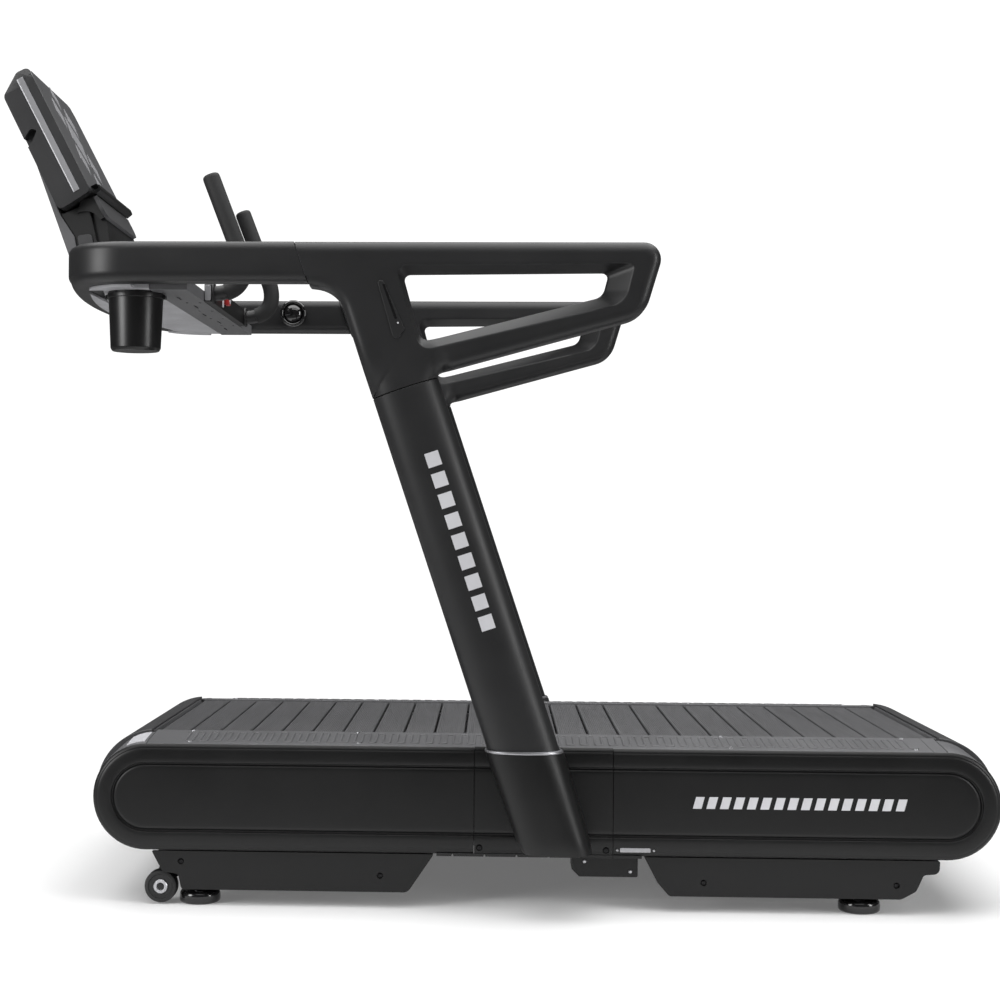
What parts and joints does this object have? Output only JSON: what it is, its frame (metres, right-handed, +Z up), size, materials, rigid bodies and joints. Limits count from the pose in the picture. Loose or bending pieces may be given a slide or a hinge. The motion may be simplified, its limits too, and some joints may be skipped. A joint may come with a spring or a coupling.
{
  "type": "slat-belt treadmill",
  "caption": "Treadmill with a flat rubber slat belt, leaning oval uprights, closed-loop handrails and a tilted console above a bowed front bar.",
  "frame": {"origin": "on the floor plane under the centre of the overall box, so z = 0 is the underside of the four feet", "axes": "+X from the console towards the rear of the deck, +Y towards the runner's right-hand side, +Z up; the runner faces -X"},
  "size_m": [1.954, 1.034, 1.633],
  "materials": {
    "frame_paint": "satin",
    "slat_rubber": "matte, finely ribbed",
    "aluminium": "machined",
    "steel": "brushed",
    "belt_rubber": "matte",
    "foot_rubber": "semi-gloss",
    "wheel_rubber": "matte",
    "cover_plastic": "satin, fine grain",
    "platform_plastic": "satin, moulded tread",
    "chrome": "polished",
    "tray_plastic": "satin",
    "gloss_black": "gloss",
    "grip_foam": "fine matte grain",
    "screen": "glossy overlay with grey diamonds",
    "red_plastic": "gloss"
  },
  "bodies": {
    "frame": {"base_frame": "frame_paint", "front_bar": "frame_paint", "upright_left": "frame_paint", "upright_right": "frame_paint", "handrail_loop_left": "frame_paint", "handrail_loop_right": "frame_paint", "drive_motor": "aluminium", "slat_rail_left": "steel", "slat_rail_right": "steel", "front_bearing_left": "steel", "front_bearing_right": "steel", "rear_bearing_left": "steel", "rear_bearing_right": "steel", "drive_belt": "belt_rubber", "motor_controller": "cover_plastic", "power_inlet": "cover_plastic", "front_end_cover": "cover_plastic", "rear_end_cover": "cover_plastic", "side_cover_front_left": "cover_plastic", "side_cover_front_right": "cover_plastic", "side_cover_middle_left": "cover_plastic", "side_cover_middle_right": "cover_plastic", "side_cover_rear_left": "cover_plastic", "side_cover_rear_right": "cover_plastic", "foot_cover_front_left": "cover_plastic", "foot_cover_front_right": "cover_plastic", "foot_cover_rear_left": "cover_plastic", "foot_cover_rear_right": "cover_plastic", "upright_boot_left": "cover_plastic", "upright_boot_right": "cover_plastic", "console_mast": "cover_plastic", "console_housing": "cover_plastic", "tablet_ledge": "cover_plastic", "foot_platform_left": "platform_plastic", "foot_platform_right": "platform_plastic", "boot_ring_left": "chrome", "boot_ring_right": "chrome", "console_tray": "tray_plastic", "cup_holder": "gloss_black", "hand_grip_left": "grip_foam", "hand_grip_right": "grip_foam", "console_screen": "screen"},
    "belt_top": {"belt_top_run": "slat_rubber"},
    "belt_bottom": {"belt_bottom_run": "slat_rubber"},
    "front_roller": {"front_drum": "aluminium", "drum_pulley": "aluminium", "belt_front_wrap": "slat_rubber"},
    "rear_roller": {"rear_drum": "aluminium", "belt_rear_wrap": "slat_rubber"},
    "rotor": {"motor_rotor": "steel"},
    "dial_left": {"control_dial_left": "gloss_black"},
    "dial_right": {"control_dial_right": "gloss_black"},
    "key": {"safety_key": "red_plastic"},
    "wheel_left": {"transport_wheel_left": "wheel_rubber"},
    "wheel_right": {"transport_wheel_right": "wheel_rubber"},
    "foot_front_left": {"levelling_foot_front_left": "foot_rubber"},
    "foot_front_right": {"levelling_foot_front_right": "foot_rubber"},
    "foot_rear_left": {"levelling_foot_rear_left": "foot_rubber"},
    "foot_rear_right": {"levelling_foot_rear_right": "foot_rubber"}
  },
  "joints": [
    {"name": "belt_travel", "type": "slide", "parent": "frame", "child": "belt_top", "axis": [1, 0, 0], "range_m": [-0.03, 0.03]},
    {"name": "belt_return", "type": "slide", "parent": "frame", "child": "belt_bottom", "axis": [1, 0, 0], "range_m": [-0.0301, 0.0301]},
    {"name": "front_drum_turn", "type": "hinge", "parent": "frame", "child": "front_roller", "pos_m": [-0.638, 0, 0.206], "axis": [0, 1, 0], "range_deg": [-18.1, 18.1]},
    {"name": "rear_drum_turn", "type": "hinge", "parent": "frame", "child": "rear_roller", "pos_m": [0.862, 0, 0.206], "axis": [0, 1, 0], "range_deg": [-18.1, 18.1]},
    {"name": "motor_turn", "type": "hinge", "parent": "frame", "child": "rotor", "pos_m": [-0.43, 0, 0.207], "axis": [0, 1, 0], "range_deg": [-43.6, 43.6]},
    {"name": "dial_left_turn", "type": "hinge", "parent": "frame", "child": "dial_left", "pos_m": [-0.458, -0.43, 1.207], "axis": [0, 1, 0], "continuous": true},
    {"name": "dial_right_turn", "type": "hinge", "parent": "frame", "child": "dial_right", "pos_m": [-0.458, 0.43, 1.207], "axis": [0, 1, 0], "continuous": true},
    {"name": "safety_key_pull", "type": "slide", "parent": "frame", "child": "key", "axis": [1, 0, 0], "range_m": [0, 0.03]},
    {"name": "wheel_left_roll", "type": "hinge", "parent": "frame", "child": "wheel_left", "pos_m": [-0.611, -0.373, 0.034], "axis": [0, 1, 0], "continuous": true},
    {"name": "wheel_right_roll", "type": "hinge", "parent": "frame", "child": "wheel_right", "pos_m": [-0.611, 0.373, 0.034], "axis": [0, 1, 0], "continuous": true},
    {"name": "foot_front_left_level", "type": "slide", "parent": "frame", "child": "foot_front_left", "axis": [0, 0, 1], "range_m": [-0.01, 0.01]},
    {"name": "foot_front_right_level", "type": "slide", "parent": "frame", "child": "foot_front_right", "axis": [0, 0, 1], "range_m": [-0.01, 0.01]},
    {"name": "foot_rear_left_level", "type": "slide", "parent": "frame", "child": "foot_rear_left", "axis": [0, 0, 1], "range_m": [-0.01, 0.01]},
    {"name": "foot_rear_right_level", "type": "slide", "parent": "frame", "child": "foot_rear_right", "axis": [0, 0, 1], "range_m": [-0.01, 0.01]}
  ],
  "couplings": [
    {"joint": "belt_return", "follows": "belt_travel", "ratio": -1},
    {"joint": "front_drum_turn", "follows": "belt_travel", "rad_per_m": 10.472},
    {"joint": "rear_drum_turn", "follows": "belt_travel", "rad_per_m": 10.472},
    {"joint": "motor_turn", "follows": "belt_travel", "rad_per_m": 25.133}
  ]
}
